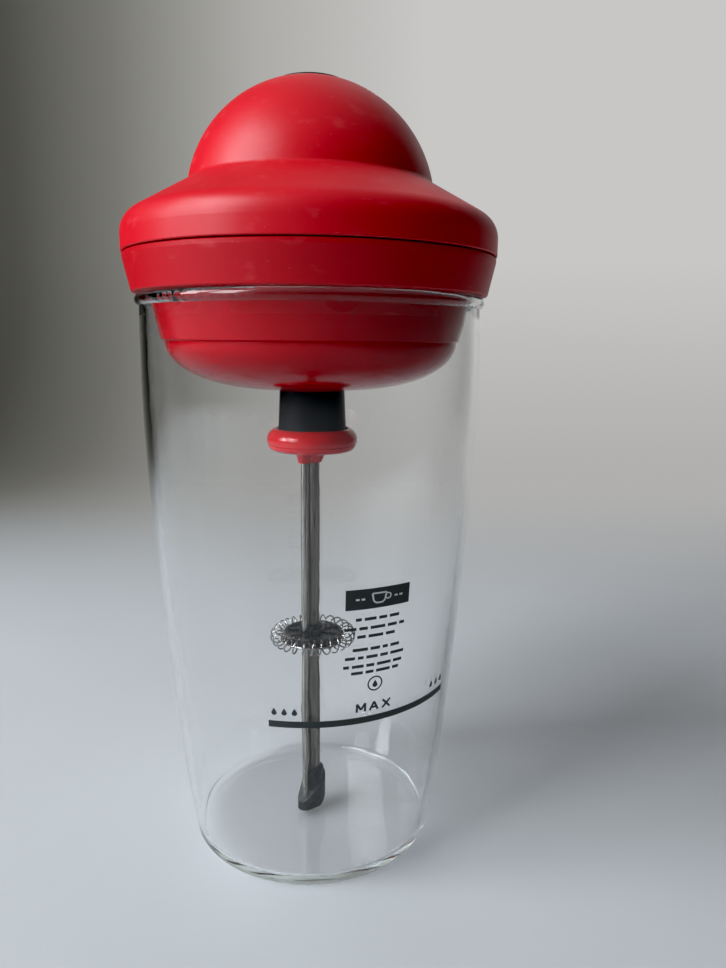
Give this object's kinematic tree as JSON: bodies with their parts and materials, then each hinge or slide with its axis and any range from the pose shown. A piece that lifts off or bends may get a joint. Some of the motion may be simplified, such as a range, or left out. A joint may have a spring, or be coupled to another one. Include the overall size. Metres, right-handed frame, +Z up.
{
  "type": "milk frother with beaker",
  "caption": "Battery milk frother: tall clear glass beaker with a domed red motor lid and a twin-shaft whisk that carries a sliding coil disc.",
  "frame": {"origin": "centre of the beaker's foot, on the surface that it stands on", "axes": "+Z up along the beaker's axis; -Y towards the side of the beaker that carries the printed level mark"},
  "size_m": [0.105, 0.105, 0.2226],
  "materials": {
    "clear_glass": "clear, polished",
    "red_shell": "soft-touch satin",
    "red_hub": "glossy",
    "black_sleeve": "satin",
    "button_black": "soft matt",
    "black_plastic": "moulded",
    "tip_plastic": "moulded, slightly glossy",
    "dark_rubber": "matt",
    "bush_brass": "turned",
    "grey_moulding": "moulded, satin",
    "white_plastic": "moulded, satin",
    "screw_steel": "plated",
    "spring_steel": "drawn wire",
    "contact_metal": "plated strip",
    "circuit_board": "lacquered",
    "wire_sleeve": "smooth",
    "motor_steel": "drawn, plated",
    "magnet_ferrite": "pressed",
    "armature_iron": "laminated",
    "shaft_steel": "ground",
    "coil_steel": "bright drawn wire",
    "cell_wrap": "printed sleeve"
  },
  "bodies": {
    "beaker": {"glass_beaker": "clear_glass"},
    "lid": {"lid_base": "red_shell", "drive_sleeve": "black_sleeve", "sleeve_seal_ring": "dark_rubber", "spindle_bush": "bush_brass", "spindle_seal": "dark_rubber", "battery_cage": "grey_moulding", "cage_screws": "screw_steel", "cell_springs": "contact_metal", "lower_contacts": "contact_metal", "upper_contacts": "contact_metal", "contact_cap": "grey_moulding", "cap_screws": "screw_steel", "switch_board": "circuit_board", "switch_body": "black_plastic", "motor_leads": "wire_sleeve", "motor_can": "motor_steel", "motor_magnets": "magnet_ferrite", "motor_end_cap": "white_plastic", "motor_terminals": "bush_brass", "motor_retaining_ring": "screw_steel", "battery_cell_1": "cell_wrap", "battery_cell_2": "cell_wrap", "battery_cell_3": "cell_wrap"},
    "gasket": {"cover_gasket": "dark_rubber"},
    "cover": {"dome_cover": "red_shell", "button_guide": "grey_moulding", "button_guide_screws": "screw_steel", "button_spring": "spring_steel"},
    "button": {"power_button": "button_black"},
    "plunger": {"switch_plunger": "white_plastic"},
    "spindle": {"motor_shaft": "shaft_steel", "motor_armature": "armature_iron", "motor_commutator": "bush_brass", "drive_spindle": "shaft_steel", "whisk_hub": "red_hub", "whisk_tube": "shaft_steel", "whisk_rod": "shaft_steel", "whisk_tip": "tip_plastic"},
    "disc": {"frothing_disc": "tip_plastic", "coil_ring": "coil_steel", "coil_hoop": "coil_steel"}
  },
  "joints": [
    {"name": "lid_lift", "type": "slide", "parent": "beaker", "child": "lid", "axis": [0, 0, 1], "range_m": [0, 0.17]},
    {"name": "cover_twist", "type": "hinge", "parent": "lid", "child": "gasket", "pos_m": [0, 0, 0.1775], "axis": [0, 0, 1], "continuous": true},
    {"name": "cover_lift", "type": "slide", "parent": "gasket", "child": "cover", "axis": [0, 0, 1], "range_m": [0, 0.06]},
    {"name": "button_press", "type": "slide", "parent": "cover", "child": "button", "axis": [0, 0, -1], "range_m": [0, 0.0015], "stiffness_N_per_m": 1200, "springref_m": -0.0006, "deforming": ["button_spring"]},
    {"name": "plunger_press", "type": "slide", "parent": "lid", "child": "plunger", "axis": [0, 0, -1], "range_m": [0, 0.0015]},
    {"name": "spindle_spin", "type": "hinge", "parent": "lid", "child": "spindle", "pos_m": [0, 0, 0.13], "axis": [0, 0, 1], "continuous": true},
    {"name": "disc_slide", "type": "slide", "parent": "spindle", "child": "disc", "axis": [0, 0, 1], "range_m": [-0.041, 0.05]}
  ],
  "couplings": [
    {"joint": "plunger_press", "follows": "button_press", "ratio": 1}
  ]
}
